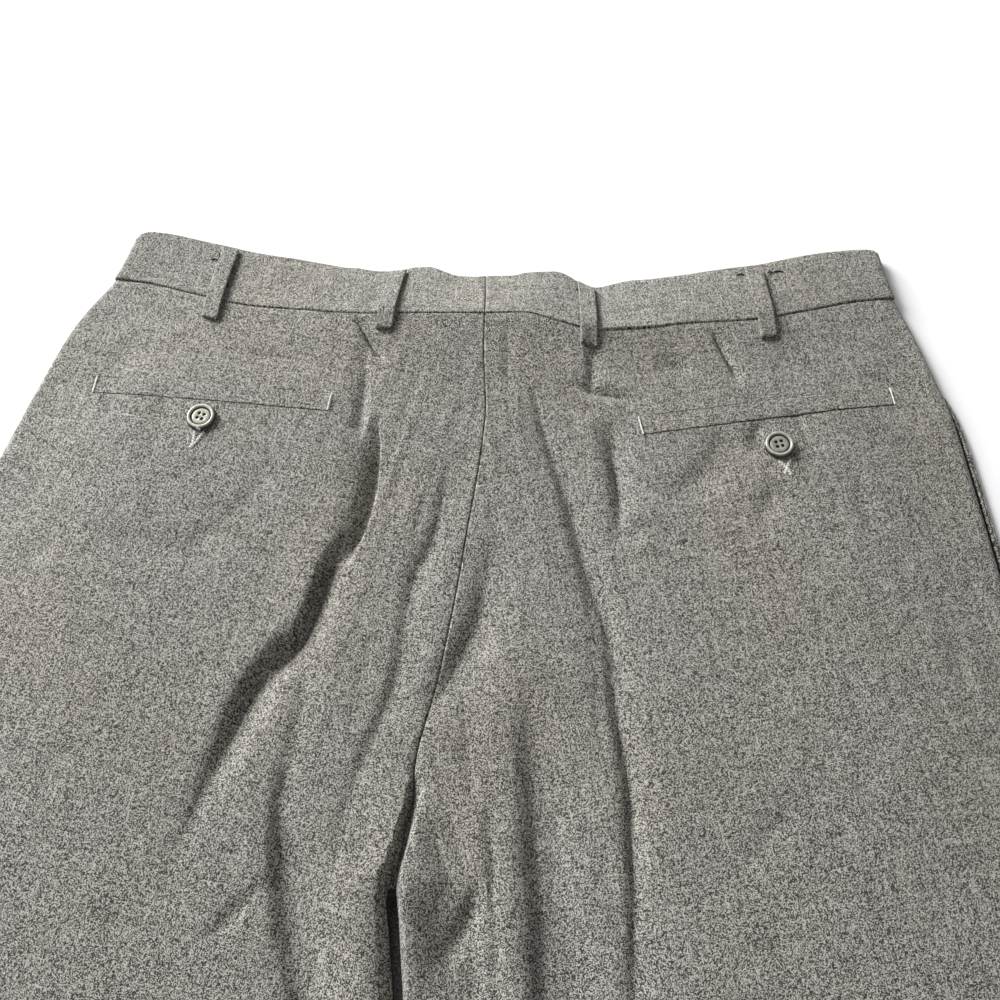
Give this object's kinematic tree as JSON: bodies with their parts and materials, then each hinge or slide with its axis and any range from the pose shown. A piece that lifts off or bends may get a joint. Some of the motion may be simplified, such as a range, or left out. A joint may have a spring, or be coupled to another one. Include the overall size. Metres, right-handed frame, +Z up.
{
  "type": "pleated dress trousers",
  "caption": "Pleated dress trousers lying flat face down, seat up, with a waistband, belt loops and buttoned welt back pockets.",
  "frame": {"origin": "on the surface that the trousers lie on, under the middle of their bounding box", "axes": "+Y from the hems to the waistband, +X to the wearer's right, +Z up from the surface through the front to the back"},
  "size_m": [0.5459, 1.1189, 0.0211],
  "materials": {
    "cloth": "matt heathered grey wool",
    "band": "matt heathered grey wool, pressed flat",
    "trim": "matt heathered grey wool",
    "facing": "matt dark pocket facing",
    "button": "semi-gloss horn-like resin",
    "zip": "woven tape"
  },
  "bodies": {
    "root": {"back_left": "cloth", "back_right": "cloth", "front_left": "cloth", "front_right": "cloth", "waistband_left": "band", "waistband_right": "band", "belt_loop_1": "trim", "belt_loop_2": "trim", "belt_loop_3": "trim", "belt_loop_4": "trim", "belt_loop_5": "trim", "belt_loop_6": "trim", "welt_left": "trim", "welt_right": "trim", "button_left": "button", "button_right": "button", "pocket_facing_left": "facing", "pocket_facing_right": "facing", "zip": "zip"}
  },
  "joints": []
}
